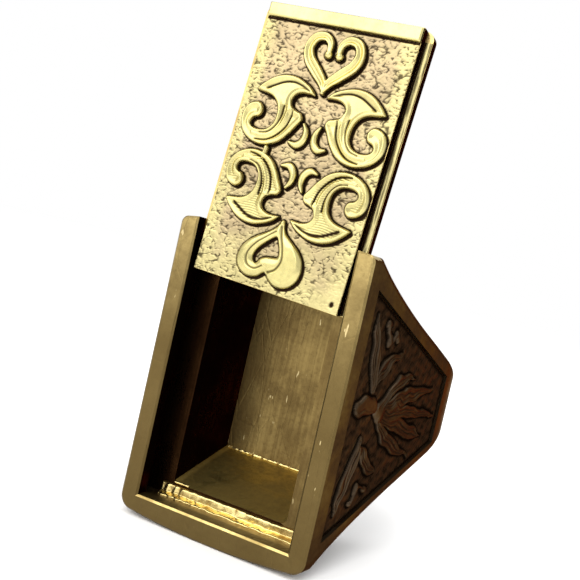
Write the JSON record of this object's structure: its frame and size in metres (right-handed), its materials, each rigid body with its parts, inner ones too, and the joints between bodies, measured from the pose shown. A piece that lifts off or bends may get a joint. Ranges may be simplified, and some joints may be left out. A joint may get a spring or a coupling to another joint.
{
  "type": "slide-lid compartment ring",
  "caption": "Finger ring with a long box bezel, a hollow compartment and a relief-decorated lid that slides out of grooves in the rim; tapered shoulders carry sunk floral side panels.",
  "frame": {"origin": "centre of the finger bore, on the ring's mid plane", "axes": "+Z along the finger, the way the lid slides open; -Y the way the bezel and its lid face; +X to the right seen from the bezel side"},
  "size_m": [0.024, 0.0325, 0.0433],
  "materials": {
    "aged_brass": "satin, aged",
    "satin_brass": "satin",
    "inner_brass": "satin, tooled",
    "bright_brass": "bright, rough",
    "pin_brass": "dark",
    "pale_brass": "stippled, aged in the hollows",
    "polished_brass": "polished",
    "dark_brass": "dark patina",
    "relief_brass": "dark patina, rubbed on the high spots"
  },
  "bodies": {
    "ring": {"bezel_body": "aged_brass", "rim_frame": "satin_brass", "shank": "aged_brass", "compartment_floor": "inner_brass", "sill_bar": "bright_brass", "right_plaque": "dark_brass", "right_palmette": "relief_brass", "right_bud": "relief_brass", "right_upper_spray": "relief_brass", "right_lower_spray": "relief_brass", "right_upper_berries": "relief_brass", "right_lower_berries": "relief_brass", "left_plaque": "dark_brass", "left_palmette": "relief_brass", "left_bud": "relief_brass", "left_upper_spray": "relief_brass", "left_lower_spray": "relief_brass", "left_upper_berries": "relief_brass", "left_lower_berries": "relief_brass"},
    "stop_pin": {"lid_stop_pin": "pin_brass"},
    "lid": {"lid_face_plate": "pale_brass", "lid_slide_plate": "satin_brass", "lid_end_band": "polished_brass", "lid_upper_heart": "polished_brass", "lid_lower_heart": "polished_brass", "lid_scroll_upper_left": "polished_brass", "lid_crescent_upper_left": "polished_brass", "lid_scroll_upper_right": "polished_brass", "lid_crescent_upper_right": "polished_brass", "lid_scroll_lower_left": "polished_brass", "lid_crescent_lower_left": "polished_brass", "lid_scroll_lower_right": "polished_brass", "lid_crescent_lower_right": "polished_brass"}
  },
  "joints": [
    {"name": "lid_slide", "type": "slide", "parent": "ring", "child": "stop_pin", "axis": [0, 0, 1], "range_m": [-0.0179, 0]},
    {"name": "lid_cant", "type": "hinge", "parent": "stop_pin", "child": "lid", "pos_m": [0.00636, -0.0185, 0.0085], "axis": [0, -1, 0], "range_deg": [0, 4.5]}
  ],
  "couplings": [
    {"joint": "lid_cant", "follows": "lid_slide", "rad_per_m": -4.3877}
  ]
}
